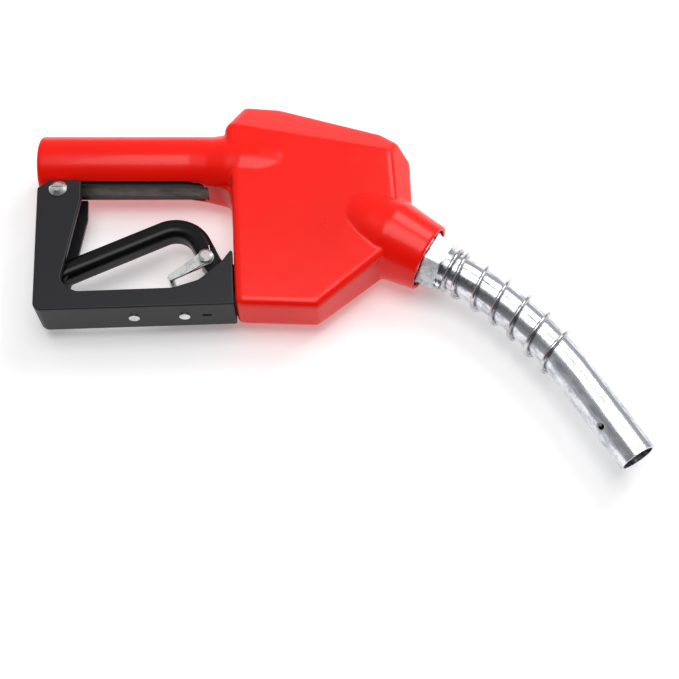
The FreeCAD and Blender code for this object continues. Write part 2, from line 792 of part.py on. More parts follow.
def diaphragm():
    y = diaphragm_y
    profile = [
        (y, latch_pin_radius + running_gap), (y, plate_radius + 0.4), (y - 1.6, plate_radius + 1.3),
        (y, diaphragm_bed_radius - 0.6), (y, diaphragm_radius),
        (y + diaphragm_thickness, diaphragm_radius), (y + diaphragm_thickness, diaphragm_bed_radius - 0.9),
        (y - 0.4, plate_radius + 1.3), (y + diaphragm_thickness, plate_radius),
        (y + diaphragm_thickness, latch_pin_radius + running_gap),
    ]
    return turned(profile, Vector(plunger_x, 0, 0), Y_AXIS, X_AXIS)


def diaphragm_cover():
    low = diaphragm_y + diaphragm_thickness
    high = low + cover_height
    cup = upright(plunger_x, low, high, diaphragm_radius)
    hollow = upright(plunger_x, low - 1, high - cover_wall, diaphragm_radius - 2.4)
    spanner_holes = [upright(plunger_x + side * 8, high - 1, high + 1, 1.2) for side in (-1, 1)]
    return cut_all(cup, [hollow] + spanner_holes)


def diaphragm_spring():
    low = diaphragm_y + diaphragm_thickness + plate_thickness
    high = diaphragm_y + diaphragm_thickness + cover_height - cover_wall
    return coil(plunger_x, low + 0.05, high - 0.05, 5.2, 0.45, 4)


def diaphragm_plate():
    low = diaphragm_y + diaphragm_thickness
    return upright_ring(plunger_x, low, low + plate_thickness, plate_radius, latch_pin_radius + fit_gap)


def latch_pin():
    head = diaphragm_y + diaphragm_thickness + plate_thickness
    taper = turned(
        [(latch_pin_bottom_y, 0), (latch_pin_bottom_y, latch_pin_radius - 0.5),
         (roller_y - 4, latch_pin_radius - 0.5), (roller_y - 2, latch_pin_radius),
         (head, latch_pin_radius), (head, 3.4), (head + 1, 3.4), (head + 1, 0)],
        Vector(plunger_x, 0, 0), Y_AXIS, X_AXIS)
    return taper


# ---- spout and its fittings ----
def spout_path(offset, first_s, tip_cut):
    """The spout's centre line, moved sideways by offset toward its top."""
    arc_centre = neck_point(bend_start_s) - neck_up * bend_radius
    radius = bend_radius + offset
    angles = [math.pi / 2 - neck_drop - math.radians(bend_deg) * share for share in (0, 0.5, 1)]
    first, middle, last = [
        arc_centre + Vector(math.cos(a), math.sin(a), 0) * radius for a in angles]
    onward = Vector(math.sin(angles[2]), -math.cos(angles[2]), 0)
    start = neck_point(first_s, offset)
    end = last + onward * (tip_length - tip_cut)
    return Part.Wire([
        Part.makeLine(start, first), Part.Arc(first, middle, last).toShape(), Part.makeLine(last, end)])


def spout_frame(distance):
    """Point, direction and upward side on the spout's centre line, from the collar mouth."""
    arc_length = bend_radius * math.radians(bend_deg)
    turn = min(max(distance - bend_start_s, 0), arc_length) / bend_radius
    drop = neck_drop + turn
    along = Vector(math.cos(drop), -math.sin(drop), 0)
    up = Vector(math.sin(drop), math.cos(drop), 0)
    if distance <= bend_start_s:
        return neck_point(distance), along, up
    arc_centre = neck_point(bend_start_s) - neck_up * bend_radius
    past = max(distance - bend_start_s - arc_length, 0)
    return arc_centre + up * bend_radius + along * past, along, up


def swept_round(path, radius):
    first = path.Edges[0]
    start = first.valueAt(first.FirstParameter)
    along = first.tangentAt(first.FirstParameter)
    return path.makePipeShell([Part.Wire(Part.Circle(start, along, radius).toShape())], True, False)


def spout_total():
    return bend_start_s + bend_radius * math.radians(bend_deg) + tip_length


def vent_direction():
    point, along, up = spout_frame(spout_total() - vent_back)
    side = math.radians(vent_side_deg)
    return point, (up * -math.cos(side) + Z_AXIS * math.sin(side))


def spout_tube():
    tube = swept_round(spout_path(0, nut_thread_s + 4, 0), spout_radius)
    hollow = swept_round(spout_path(0, nut_thread_s + 3, -1), spout_radius - spout_wall)
    flare = neck_rod(nut_thread_s + 1, nut_thread_s + 1 + spout_flare_length, spout_flare_radius)
    flare = join([flare, neck_rod(nut_thread_s + 1, nut_thread_s + 6, spout_radius)])
    point, side = vent_direction()
    vent = rod(point + side * 4, side, 10, vent_hole_radius)
    bore = neck_rod(nut_thread_s, nut_thread_s + 8, spout_radius - spout_wall)
    return cut_all(join([tube, flare]), [hollow, bore, vent])


def vent_tube():
    path = spout_path(-vent_tube_offset, nut_thread_s + 1, vent_back + 6)
    return swept_round(path, vent_tube_radius).cut(
        swept_round(path, vent_tube_radius - vent_tube_wall))


def vent_ferrule():
    point, side = vent_direction()
    inner = spout_radius - spout_wall
    sleeve = rod(point + side * (inner - 2.2), side, spout_radius - inner + 1.9, vent_hole_radius - fit_gap)
    return sleeve.cut(rod(point, side, 20, vent_hole_radius - 0.8))


def spout_nut():
    thread_start = nut_thread_s + 1 + spout_flare_length + 0.1
    thread = neck_rod(thread_start, 0, nut_thread_radius)
    head = hex_prism(neck_point(-0.6), neck_axis, Z_AXIS, nut_across_flats, nut_head_length, nut_chamfer)
    return join([thread, head]).cut(
        neck_rod(nut_thread_s - 2, nut_head_length + 6, spout_radius + fit_gap))


def spout_adaptor():
    end = nut_thread_s + 0.9
    solid = neck_rod(adaptor_s, end, adaptor_radius)
    groove = neck_ring(adaptor_s + 6, adaptor_s + 8.4, adaptor_radius + 1, adaptor_radius - 1.6)
    seat = turned(
        [(adaptor_s - 1, 0), (adaptor_s - 1, 6.6), (adaptor_s + 2.0, 5.0), (adaptor_s + 4.4, 7.4),
         (adaptor_s + 5.4, 8.4), (end + 1, 8.4), (end + 1, 0)],
        neck_mouth, neck_axis, neck_up)
    guide = neck_rod(end - 2.0, end, check_stem_radius + 2)
    webs = [neck_rod(end - 2.0, end, 8.6).common(bar) for bar in (
        rod(neck_point(end - 1, -9), neck_up, 18, 0.8),
        rod(neck_point(end - 1) - Z_AXIS * 9, Z_AXIS, 18, 0.8))]
    solid = join([cut_all(solid, [groove, seat]), guide] + webs)
    return solid.cut(neck_rod(end - 4, end + 1, check_stem_radius + running_gap))


def adaptor_o_ring():
    ring = Part.makeTorus(adaptor_radius - 0.75, 0.78, neck_point(adaptor_s + 7.2), neck_axis)
    return ring.common(neck_rod(adaptor_s + 5, adaptor_s + 9, adaptor_radius + fit_gap / 2)).cut(
        neck_rod(adaptor_s + 5, adaptor_s + 9, adaptor_radius - 1.58))


def check_poppet():
    seat = adaptor_s
    return turned(
        [(seat + 2.4, 0), (seat + 2.4, 4.8), (seat + 4.6, 6.9), (seat + 6.0, 6.9), (seat + 6.0, 3.6),
         (seat + 6.6, check_stem_radius), (seat + 20, check_stem_radius), (seat + 20, 0)],
        neck_mouth, neck_axis, neck_up)


def check_spring():
    start = adaptor_s + 6.2
    end = nut_thread_s - 1.2
    turns = 4
    steps = turns * 12
    points = []
    for i in range(steps + 1):
        angle = 2 * math.pi * turns * i / steps
        along = start + 0.5 + (end - start - 1.0) * i / steps
        points.append(neck_point(along, 2.6 * math.cos(angle)) + Z_AXIS * (2.6 * math.sin(angle)))
    return smooth_tube(points, 0.4)


def anchor_spring():
    """Wire coiled round the spout: close turns at the nut, then wide ones round the bend."""
    coil_radius = spout_radius + anchor_clear + anchor_wire_radius
    distance = nut_head_length + anchor_wire_radius
    turns = anchor_turns_tight + anchor_turns
    per_turn = 16
    points = []
    for i in range(int(turns * per_turn) + 1):
        turn = i / per_turn
        angle = 2 * math.pi * turn + math.pi
        point, along, up = spout_frame(distance)
        points.append(point + up * (coil_radius * math.cos(angle)) + Z_AXIS * (coil_radius * math.sin(angle)))
        blend = min(max((turn - anchor_turns_tight) / 0.6 + 0.5, 0), 1)
        distance += (anchor_pitch_tight + (anchor_pitch - anchor_pitch_tight) * blend) / per_turn
    return smooth_tube(points, anchor_wire_radius)


def inlet_strainer():
    """A flanged thimble of screen in the handle passage, just past the inlet thread."""
    start = inlet_bore_depth
    flange = rod(Vector(start, 0, 0), X_AXIS, strainer_flange, strainer_flange_radius)
    tube = rod(Vector(start, 0, 0), X_AXIS, strainer_length, passage_radius - 0.8)
    solid = join([flange, tube]).cut(
        rod(Vector(start - 1, 0, 0), X_AXIS, strainer_length, passage_radius - 1.6))
    holes = []
    for row in range(4):
        for i in range(3):
            angle = math.radians(60 * i + 30 * (row % 2))
            side = Vector(0, math.cos(angle), math.sin(angle))
            holes.append(rod(Vector(start + 3 + 4.4 * row, 0, 0) - side * 12, side, 24, 1.5))
    return cut_all(solid, holes)


# ---- moving pieces ----
def main_poppet():
    low = seat_y + seal_thickness
    disc = turned(
        [(low, 0), (low, poppet_radius), (low + poppet_thickness - 1, poppet_radius),
         (low + poppet_thickness, poppet_radius - 1), (low + poppet_thickness, 4.2),
         (low + poppet_thickness + 5, 3.4), (low + poppet_thickness + 5, 0)],
        Vector(valve_x, 0, 0), Y_AXIS, X_AXIS)
    return disc.cut(upright(valve_x, low - 1, low + 2.5, stem_radius + fit_gap))


def poppet_seal():
    return upright_ring(valve_x, seat_y, seat_y + seal_thickness, poppet_radius - 0.2, stem_radius + fit_gap)


def poppet_retainer():
    nut = hex_prism(Vector(valve_x, seat_y - 2.6, 0), Y_AXIS, X_AXIS, 9.0, 2.6, 0.6)
    return nut.cut(upright(valve_x, seat_y - 4, seat_y + 1, stem_radius + fit_gap))


def valve_stem():
    top = seat_y + seal_thickness + 2.4
    centre = stem_tip_y + stem_radius
    return join([
        upright(valve_x, centre, top, stem_radius),
        Part.makeSphere(stem_radius, Vector(valve_x, centre, 0)),
    ])


def trip_plunger():
    shank = upright(plunger_x, clevis_top_y - 1, plunger_top_y, plunger_radius)
    bottom = pivot_y - pivot_pin_radius - clevis_foot
    fork = box(plunger_x - clevis_half_length, plunger_x + clevis_half_length, bottom, clevis_top_y,
               clevis_half_width)
    fork = fork.makeFillet(1.6, fork.Edges)
    gap = box(plunger_x - 20, plunger_x + 20, bottom - 1, clevis_slot_top_y, lever_clear)
    bore = upright(plunger_x, latch_bore_bottom_y, plunger_top_y + 1, latch_bore_radius)
    window = box(plunger_x - 9, plunger_x + 9, roller_y - roller_radius - 0.1, roller_y + roller_radius + 0.1,
                 roller_length / 2 + 0.1)
    return cut_all(join([shank, fork]), [
        gap, bore, window, cross_rod(plunger_x, pivot_y, pivot_pin_radius + fit_gap, -20, 20)])


def latch_rollers():
    rollers = []
    for side in (-1, 1):
        x = plunger_x + side * (latch_pin_radius + 0.15 + roller_radius)
        rollers.append(cross_rod(x, roller_y, roller_radius, -roller_length / 2, roller_length / 2))
    keep = upright(plunger_x, roller_y - 3, roller_y + 3, plunger_radius)
    return Part.makeCompound([roller.common(keep) for roller in rollers])


def lever_pin():
    return cross_rod(plunger_x, pivot_y, pivot_pin_radius, -clevis_half_width, clevis_half_width)


def lever():
    tail = Vector(lever_tail_x, lever_tail_y, 0)
    peak = Vector(lever_peak_x, lever_peak_y, 0)
    heel = Vector(lever_heel_x, lever_heel_y, 0)
    grip_end = peak + (heel - peak) * grip_end_share
    grip = rounded_bar(rounded_path([tail, peak, grip_end], [lever_peak_round]),
                       grip_half_height, grip_half_width, 4.4)
    tail_end = Part.makeCylinder(grip_half_height, 2 * (grip_half_width - 1.4),
                                 tail - Z_AXIS * (grip_half_width - 1.4), Z_AXIS)
    arm = rounded_bar(rounded_path([peak + (heel - peak) * 0.5, heel, pivot_point], [lever_heel_round]),
                      arm_half_height, arm_half_width, 1.2)
    eye = cross_rod(pivot_point.x, pivot_point.y, pivot_eye_radius, -arm_half_width, arm_half_width)
    solid = join([grip, tail_end, arm, eye])
    return cut_all(solid, [
        cross_rod(pivot_point.x, pivot_point.y, pivot_pin_radius + running_gap, -20, 20),
        cross_rod(clip_x, clip_y, clip_pin_radius + fit_gap, -20, 20),
    ])


def clip_rivet():
    z = arm_half_width
    top = z + free_gap + clip_thickness + 0.2 + clip_spring_turns * 2.2 * clip_spring_wire
    head = turned([(0, 0), (0, clip_head_radius), (0.5, clip_head_radius), (1.3, clip_head_radius - 1.4),
                   (1.3, 0)], Vector(clip_x, clip_y, top), Z_AXIS, X_AXIS)
    tail = cross_rod(clip_x, clip_y, clip_head_radius - 0.6, -z - 1.0, -z - 0.02)
    return join([cross_rod(clip_x, clip_y, clip_pin_radius, -z - 0.5, top + 0.1), head, tail])


def hold_open_clip():
    z1 = arm_half_width + free_gap
    z2 = z1 + clip_thickness
    angle = math.radians(clip_angle_deg)
    along = Vector(math.cos(angle), math.sin(angle), 0)
    across = Vector(-along.y, along.x, 0)
    pivot = Vector(clip_x, clip_y, 0)
    tip = pivot + along * clip_length
    corners = [pivot + across * clip_eye_radius, tip + across * clip_tip_radius,
               tip - across * clip_tip_radius, pivot - across * clip_eye_radius]
    blade = plate([(p.x, p.y) for p in corners], z1, z2)
    eye = cross_rod(pivot.x, pivot.y, clip_eye_radius, z1, z2)
    foot = cross_rod(tip.x, tip.y, clip_tip_radius, -rack_half_width, z2)
    solid = join([blade, eye, foot])
    return solid.cut(cross_rod(clip_x, clip_y, clip_pin_radius + running_gap, -20, 20))


def clip_spring():
    """A torsion spring round the clip's rivet, one leg along the clip and one along the lever."""
    low = arm_half_width + free_gap + clip_thickness + 0.1 + clip_spring_wire
    rise = (clip_spring_turns - 1) * 2.2 * clip_spring_wire
    start = math.radians(clip_angle_deg + 90)
    sweep = 2 * math.pi * (clip_spring_turns - 1) + math.radians(70)
    steps = 24
    points = []
    for i in range(steps + 1):
        angle = start + sweep * i / steps
        points.append(Vector(clip_x + clip_spring_radius * math.cos(angle),
                             clip_y + clip_spring_radius * math.sin(angle), low + rise * i / steps))
    first_leg = Vector(math.sin(start), -math.cos(start), 0)
    last_leg = Vector(-math.sin(start + sweep), math.cos(start + sweep), 0)
    before = [points[0] + first_leg * (clip_spring_leg * share) for share in (1, 0.75, 0.5, 0.25)]
    after = [points[-1] + last_leg * share for share in (2, 4, 6)]
    return smooth_tube(before + points + after, clip_spring_wire)


PIECES = [
    body_casting, hand_insulator, lever_guard, guard_rear_screw, guard_rear_nut, guard_front_screw,
    hold_open_rack, rack_rivets, poppet_cap, cap_o_ring, poppet_spring, stem_packing, stem_gland,
    plunger_bush, plunger_spring, diaphragm, diaphragm_cover, diaphragm_spring, diaphragm_plate,
    latch_pin, spout_tube, vent_tube, vent_ferrule, spout_nut, spout_adaptor, adaptor_o_ring,
    check_poppet, check_spring, anchor_spring, inlet_strainer, main_poppet, poppet_seal,
    poppet_retainer, valve_stem, trip_plunger, latch_rollers, lever_pin, lever, clip_rivet,
    hold_open_clip, clip_spring,
]

os.makedirs("parts", exist_ok=True)
for piece in PIECES:
    piece().exportStep("parts/" + piece.__name__ + ".step")
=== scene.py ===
"""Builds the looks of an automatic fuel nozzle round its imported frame.

Every piece sits in the frame's own metres. The inlet's mouth is the origin, X runs forward
along the handle, Y points to the nozzle's top side, and Z points out of the flank that faces
up as the nozzle lies on the floor.
"""

from __future__ import annotations

import json
import logging
import math
from dataclasses import dataclass
from enum import Enum
from typing import Mapping, Optional, Sequence, Union

import bpy
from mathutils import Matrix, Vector
from mathutils.bvhtree import BVHTree

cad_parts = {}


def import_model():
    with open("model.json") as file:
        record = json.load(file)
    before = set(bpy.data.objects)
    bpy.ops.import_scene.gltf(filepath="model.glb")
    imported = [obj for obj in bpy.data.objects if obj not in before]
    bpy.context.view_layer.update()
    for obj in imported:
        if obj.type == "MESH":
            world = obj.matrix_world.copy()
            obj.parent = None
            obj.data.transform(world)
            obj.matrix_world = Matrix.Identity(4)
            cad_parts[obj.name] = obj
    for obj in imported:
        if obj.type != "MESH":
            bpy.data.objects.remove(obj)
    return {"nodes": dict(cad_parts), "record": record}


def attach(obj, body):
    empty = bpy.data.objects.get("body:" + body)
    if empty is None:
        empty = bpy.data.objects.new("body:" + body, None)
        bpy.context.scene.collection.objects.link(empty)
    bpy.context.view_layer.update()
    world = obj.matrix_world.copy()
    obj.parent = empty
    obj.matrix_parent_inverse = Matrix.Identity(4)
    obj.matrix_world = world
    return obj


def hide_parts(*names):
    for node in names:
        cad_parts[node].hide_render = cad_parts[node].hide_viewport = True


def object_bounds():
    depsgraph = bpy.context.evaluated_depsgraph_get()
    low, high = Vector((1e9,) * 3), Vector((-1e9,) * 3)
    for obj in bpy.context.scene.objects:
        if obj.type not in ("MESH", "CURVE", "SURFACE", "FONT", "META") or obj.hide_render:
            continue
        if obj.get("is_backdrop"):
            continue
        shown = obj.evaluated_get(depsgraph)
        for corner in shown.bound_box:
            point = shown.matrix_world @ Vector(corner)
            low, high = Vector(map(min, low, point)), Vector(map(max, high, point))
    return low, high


LOG = logging.getLogger("fuel_nozzle")
MM = 0.001
MERGE_GAP = 0.01 * MM
SENSOR_WIDTH = 36.0
WHITE = (1.0, 1.0, 1.0, 1.0)
ROOM_TINT = (0.97, 0.98, 1.0, 1.0)

Colour = tuple[float, float, float]
Triple = tuple[float, float, float]


# ---------------------------------------------------------------- shader expressions


class Value:
    """A shader socket that takes part in Python arithmetic."""

    def __init__(self, shader: "Shader", socket: bpy.types.NodeSocket) -> None:
        """Wraps a socket.

        Args:
            shader: the shader that the socket belongs to.
            socket: the output socket to read.
        """
        self.shader = shader
        self.socket = socket

    def _maths(self, operation: str, first: "Operand", second: "Operand") -> "Value":
        """One Math node.

        Args:
            operation: the Math node's operation.
            first: its first number or link.
            second: its second number or link.

        Returns:
            The node's result.
        """
        return self.shader.value(
            "ShaderNodeMath", {"operation": operation}, {0: first, 1: second}
        )

    def __add__(self, other: "Operand") -> "Value":
        """This and another number."""
        return self._maths("ADD", self, other)

    __radd__ = __add__

    def __sub__(self, other: "Operand") -> "Value":
        """This less another number."""
        return self._maths("SUBTRACT", self, other)

    def __mul__(self, other: "Operand") -> "Value":
        """This times another number."""
        return self._maths("MULTIPLY", self, other)

    __rmul__ = __mul__

    def between(self, low: float, high: float) -> "Value":
        """How far this lies from low to high, smoothed.

        Args:
            low: the number that gives 0.
            high: the number that gives 1.

        Returns:
            A value from 0 to 1.
        """
        return self.shader.value(
            "ShaderNodeMapRange",
            {"interpolation_type": "SMOOTHSTEP"},
            {"Value": self, "From Min": low, "From Max": high},
        )


Operand = Union[Value, float]
Plug = Union[Value, float, Sequence[float]]


class Shader:
    """One material's node tree, written as expressions."""

    def __init__(self, name: str) -> None:
        """Starts an empty material.

        Args:
            name: the material's name.
        """
        self.material = bpy.data.materials.new(name)
        self.material.use_nodes = True
        self.tree = self.material.node_tree
        self.tree.nodes.clear()
        self._object_place: Optional[Value] = None

    def node(
        self,
        kind: str,
        settings: Optional[Mapping[str, object]] = None,
        sockets: Optional[Mapping[Union[int, str], Plug]] = None,
    ) -> bpy.types.Node:
        """Adds one node.

        Args:
            kind: the node's type.
            settings: its own properties, which are set first.
            sockets: what goes into its inputs, by name or by number.

        Returns:
            The node.
        """
        node = self.tree.nodes.new(kind)
        for name, setting in (settings or {}).items():
            setattr(node, name, setting)
        for key, plug in (sockets or {}).items():
            if isinstance(plug, Value):
                self.tree.links.new(plug.socket, node.inputs[key])
            else:
                node.inputs[key].default_value = plug
        return node

    def value(
        self,
        kind: str,
        settings: Optional[Mapping[str, object]] = None,
        sockets: Optional[Mapping[Union[int, str], Plug]] = None,
        output: Union[int, str] = 0,
    ) -> Value:
        """Adds one node and reads one of its outputs.

        Args:
            kind: the node's type.
            settings: its own properties.
            sockets: what goes into its inputs.
            output: the output that is wanted.

        Returns:
            That output.
        """
        return Value(self, self.node(kind, settings, sockets).outputs[output])

    def place(self) -> Value:
        """Where a point of the piece is, in the frame's metres."""
        if self._object_place is None:
            self._object_place = self.value("ShaderNodeTexCoord", output="Object")
        return self._object_place

    def moved(self, centre: Triple, turn: Triple, stretch: Triple) -> Value:
        """Coordinates that are centred, turned and then stretched.

        Args:
            centre: the point that becomes the origin.
            turn: the turn about X, Y and Z, in degrees.
            stretch: what each turned axis is multiplied by.

        Returns:
            The new coordinates.
        """
        centred = self.value(
            "ShaderNodeVectorMath",
            {"operation": "SUBTRACT"},
            {0: self.place(), 1: centre},
        )
        turned = self.value(
            "ShaderNodeMapping",
            None,
            {"Vector": centred, "Rotation": [math.radians(angle) for angle in turn]},
        )
        return self.value(
            "ShaderNodeVectorMath", {"operation": "MULTIPLY"}, {0: turned, 1: stretch}
        )

    def axes(self, vector: Value) -> tuple[Value, Value, Value]:
        """The three parts of a vector."""
        split = self.node("ShaderNodeSeparateXYZ", None, {0: vector})
        return tuple(Value(self, split.outputs[i]) for i in range(3))

    def noise(
        self,
        feature: float,
        detail: float = 2.0,
        rough: float = 0.5,
        where: Optional[Value] = None,
    ) -> Value:
        """Soft clouds.

        Args:
            feature: the clouds' size in metres.
            detail: how many finer layers they have.
            rough: how strong the finer layers are.
            where: the coordinates, or none for the piece's own place.

        Returns:
            A value about 0.5.
        """
        return self.value(
            "ShaderNodeTexNoise",
            None,
            {
                "Vector": where or self.place(),
                "Scale": 1.0 / feature,
                "Detail": detail,
                "Roughness": rough,
            },
        )

    def cells(self, feature: float, where: Optional[Value] = None) -> Value:
        """Distance to the nearest of scattered points, in cells.

        Args:
            feature: the cells' size in metres.
            where: the coordinates, or none for the piece's own place.

        Returns:
            A value that is 0 at each point.
        """
        return self.value(
            "ShaderNodeTexVoronoi",
            None,
            {"Vector": where or self.place(), "Scale": 1.0 / feature},
            "Distance",
        )

    def mix(self, first: Plug, second: Plug, share: Operand) -> Value:
        """Two colours mixed.

        Args:
            first: the colour at share 0.
            second: the colour at share 1.
            share: the second colour's share.

        Returns:
            The mixed colour.
        """
        plugs = [
            plug if isinstance(plug, Value) else (*plug, 1.0) for plug in (first, second)
        ]
        return self.value(
            "ShaderNodeMix",
            {"data_type": "RGBA", "clamp_factor": True},
            {0: share, 6: plugs[0], 7: plugs[1]},
            2,
        )

    def bump(self, height: Value, distance: float, under: Optional[Value] = None) -> Value:
        """A surface relief.

        Args:
            height: the relief, from 0 to 1.
            distance: what a height of 1 is, in metres.
            under: a normal that it adds to.

        Returns:
            The normal.
        """
        sockets: dict[Union[int, str], Plug] = {"Height": height, "Distance": distance}
        if under is not None:
            sockets["Normal"] = under
        return self.value("ShaderNodeBump", None, sockets)

    def finish(
        self,
        colour: Plug,
        roughness: Operand,
        normal: Optional[Value],
        constants: Optional[Mapping[str, Plug]] = None,
    ) -> bpy.types.Material:
        """Closes the tree with a surface shader.

        Args:
            colour: the base colour.
            roughness: the roughness.
            normal: the relief, or none.
            constants: the surface shader's other sockets.

        Returns:
            The finished material.
        """
        sockets: dict[Union[int, str], Plug] = {
            "Base Color": colour if isinstance(colour, Value) else (*colour, 1.0),
            "Roughness": roughness,
        }
        if normal is not None:
            sockets["Normal"] = normal
        sockets.update(constants or {})
        surface = self.value("ShaderNodeBsdfPrincipled", None, sockets)
        self.node("ShaderNodeOutputMaterial", None, {"Surface": surface})
        return self.material


# ---------------------------------------------------------------- finishes


def shade(colour: Colour, factor: float) -> Colour:
    """A colour made lighter or darker."""
    return tuple(min(1.0, part * factor) for part in colour)


@dataclass(frozen=True)
class VinylFinish:
    """Dip-moulded vinyl: glossy, soft to the eye, with a faint orange peel.

    Attributes:
        name: the material's name.
        colour: the vinyl's colour.
        gloss: the roughness where the skin is smoothest.
        dimple: the middle of the small round dent at the shoulder, whose hollow is darkened with
            painted shade.
        dimple_radius: how far the dent reaches.
    """

    name: str
    colour: Colour = (0.98, 0.0075, 0.0015)
    gloss: float = 0.24
    dimple: Triple = (119.0 * MM, 22.5 * MM, 19.0 * MM)
    dimple_radius: float = 2.6 * MM

    def material(self) -> bpy.types.Material:
        """The finish as a material."""
        shader = Shader(self.name)
        drift = shader.noise(0.045, 2.0, 0.5)
        peel = shader.noise(0.0016, 2.0, 0.55)
        waves = shader.noise(0.012, 1.0, 0.4)
        specks = shader.cells(0.006).between(0.05, 0.02)
        scuffs = shader.noise(
            0.004, 5.0, 0.7, shader.moved((0, 0, 0), (0, 0, 28), (0.25, 3.0, 1.0))
        ).between(0.66, 0.78)
        away = shader.value(
            "ShaderNodeVectorMath",
            {"operation": "DISTANCE"},
            {0: shader.place(), 1: self.dimple},
            "Value",
        )
        dent = away.between(self.dimple_radius, 0.35 * self.dimple_radius)
        colour = shader.mix(shade(self.colour, 0.93), self.colour, drift.between(0.3, 0.7))
        # painted shade: the dent's hollow is darkened in colour; its real bump is in the relief
        # below
        colour = shader.mix(colour, shade(self.colour, 0.62), dent * 0.7)
        colour = shader.mix(colour, shade(self.colour, 0.8), specks * 0.25)
        roughness = self.gloss + drift * 0.07 + scuffs * 0.06 + peel * 0.03
        relief = shader.bump(waves - dent * 5.0, 0.12 * MM)
        relief = shader.bump(peel, 0.012 * MM, relief)
        return shader.finish(
            colour,
            roughness,
            relief,
            {
                "Specular IOR Level": 0.24,
                "Coat Weight": 0.1,
                "Coat Roughness": 0.05,
                "IOR": 1.5,
            },
        )


@dataclass(frozen=True)
class PlasticFinish:
    """Injection-moulded plastic with a fine spark-eroded grain.

    Attributes:
        name: the material's name.
        colour: the plastic's colour.
        gloss: the least roughness.
        grain: the grain's size in metres.
        depth: the grain's depth in metres.
        wear: how much worn, paler patches show, from 0 to 1.
        shine: the specular level.
        coat: the weight of a clear, hard skin.
    """

    name: str
    colour: Colour
    gloss: float = 0.38
    grain: float = 0.5 * MM
    depth: float = 0.012 * MM
    wear: float = 0.3
    shine: float = 0.5
    coat: float = 0.0

    def material(self) -> bpy.types.Material:
        """The finish as a material."""
        shader = Shader(self.name)
        grain = shader.noise(self.grain, 3.0, 0.6)
        drift = shader.noise(0.03, 3.0, 0.5)
        flow = shader.noise(0.009, 3.0, 0.6, shader.moved((0, 0, 0), (0, 0, -12), (0.3, 2.0, 1.0)))
        paler_patch = drift.between(0.52, 0.72) * flow.between(0.45, 0.7) * self.wear
        nicks = shader.cells(0.011).between(0.035, 0.015) * self.wear
        colour = shader.mix(self.colour, shade(self.colour, 1.5), paler_patch)
        colour = shader.mix(colour, shade(self.colour, 2.6), nicks)
        roughness = self.gloss + grain * 0.10 + drift * 0.05 - paler_patch * 0.08
        relief = shader.bump(flow, self.depth * 2)
        relief = shader.bump(grain, self.depth, relief)
        return shader.finish(
            colour,
            roughness,
            relief,
            {
                "Specular IOR Level": self.shine,
                "Coat Weight": self.coat,
                "Coat Roughness": 0.12,
            },
        )


class Grain(Enum):
    """Which way a metal's fine marks run."""

    TURNED = "turned"
    ROLLED = "rolled"


@dataclass(frozen=True)
class MetalFinish:
    """Bare or plated metal with tool marks, cloudy patches and tiny pits.

    Attributes:
        name: the material's name.
        colour: the metal's colour.
        clouded: the colour of its duller patches.
        gloss: the least roughness.
        spread: how much rougher the dull patches are.
        grain: which way the fine marks run.
        along: the marks' own direction, as a turn about Z in degrees.
        cloud: the patches' size in metres.
        pits: how strongly small pits show.
    """

    name: str
    colour: Colour
    clouded: Colour
    gloss: float = 0.18
    spread: float = 0.22
    grain: Grain = Grain.ROLLED
    along: float = 0.0
    cloud: float = 6 * MM
    pits: float = 0.4

    def marks(self, shader: Shader) -> Value:
        """The fine marks' relief.

        Args:
            shader: the material that they are for.

        Returns:
            A value about 0.5.
        """
        if self.grain is Grain.TURNED:
            return shader.noise(
                0.3 * MM, 3.0, 0.6, shader.moved((0, 0, 0), (0, 0, self.along), (1.0, 0.1, 0.1))
            )
        return shader.noise(
            0.35 * MM, 4.0, 0.6, shader.moved((0, 0, 0), (0, 0, self.along), (0.02, 1.0, 1.0))
        )

    def material(self) -> bpy.types.Material:
        """The finish as a material."""
        shader = Shader(self.name)
        marks = self.marks(shader)
        clouds = shader.noise(self.cloud, 5.0, 0.62)
        fine = shader.noise(self.cloud * 0.18, 3.0, 0.6)
        dull = (clouds * 0.7 + fine * 0.3).between(0.42, 0.62)
        pits = shader.cells(1.4 * MM).between(0.16, 0.05) * self.pits
        colour = shader.mix(self.colour, self.clouded, dull)
        colour = shader.mix(colour, shade(self.clouded, 0.6), pits)
        roughness = self.gloss + dull * self.spread + marks * 0.06 + pits * 0.2
        relief = shader.bump(marks, 0.006 * MM)
        relief = shader.bump(fine - pits, 0.012 * MM, relief)
        return shader.finish(colour, roughness, relief, {"Metallic": 1.0})


@dataclass(frozen=True)
class RubberFinish:
    """Matt moulded rubber with a dusty bloom.

    Attributes:
        name: the material's name.
        colour: the rubber's colour.
    """

    name: str
    colour: Colour = (0.012, 0.012, 0.013)

    def material(self) -> bpy.types.Material:
        """The finish as a material."""
        shader = Shader(self.name)
        bloom = shader.noise(3 * MM, 4.0, 0.6)
        grain = shader.noise(0.25 * MM, 2.0, 0.5)
        colour = shader.mix(self.colour, shade(self.colour, 3.0), bloom.between(0.5, 0.75))
        return shader.finish(
            colour,
            0.55 + bloom * 0.2,
            shader.bump(grain, 0.01 * MM),
            {"Specular IOR Level": 0.35},
        )


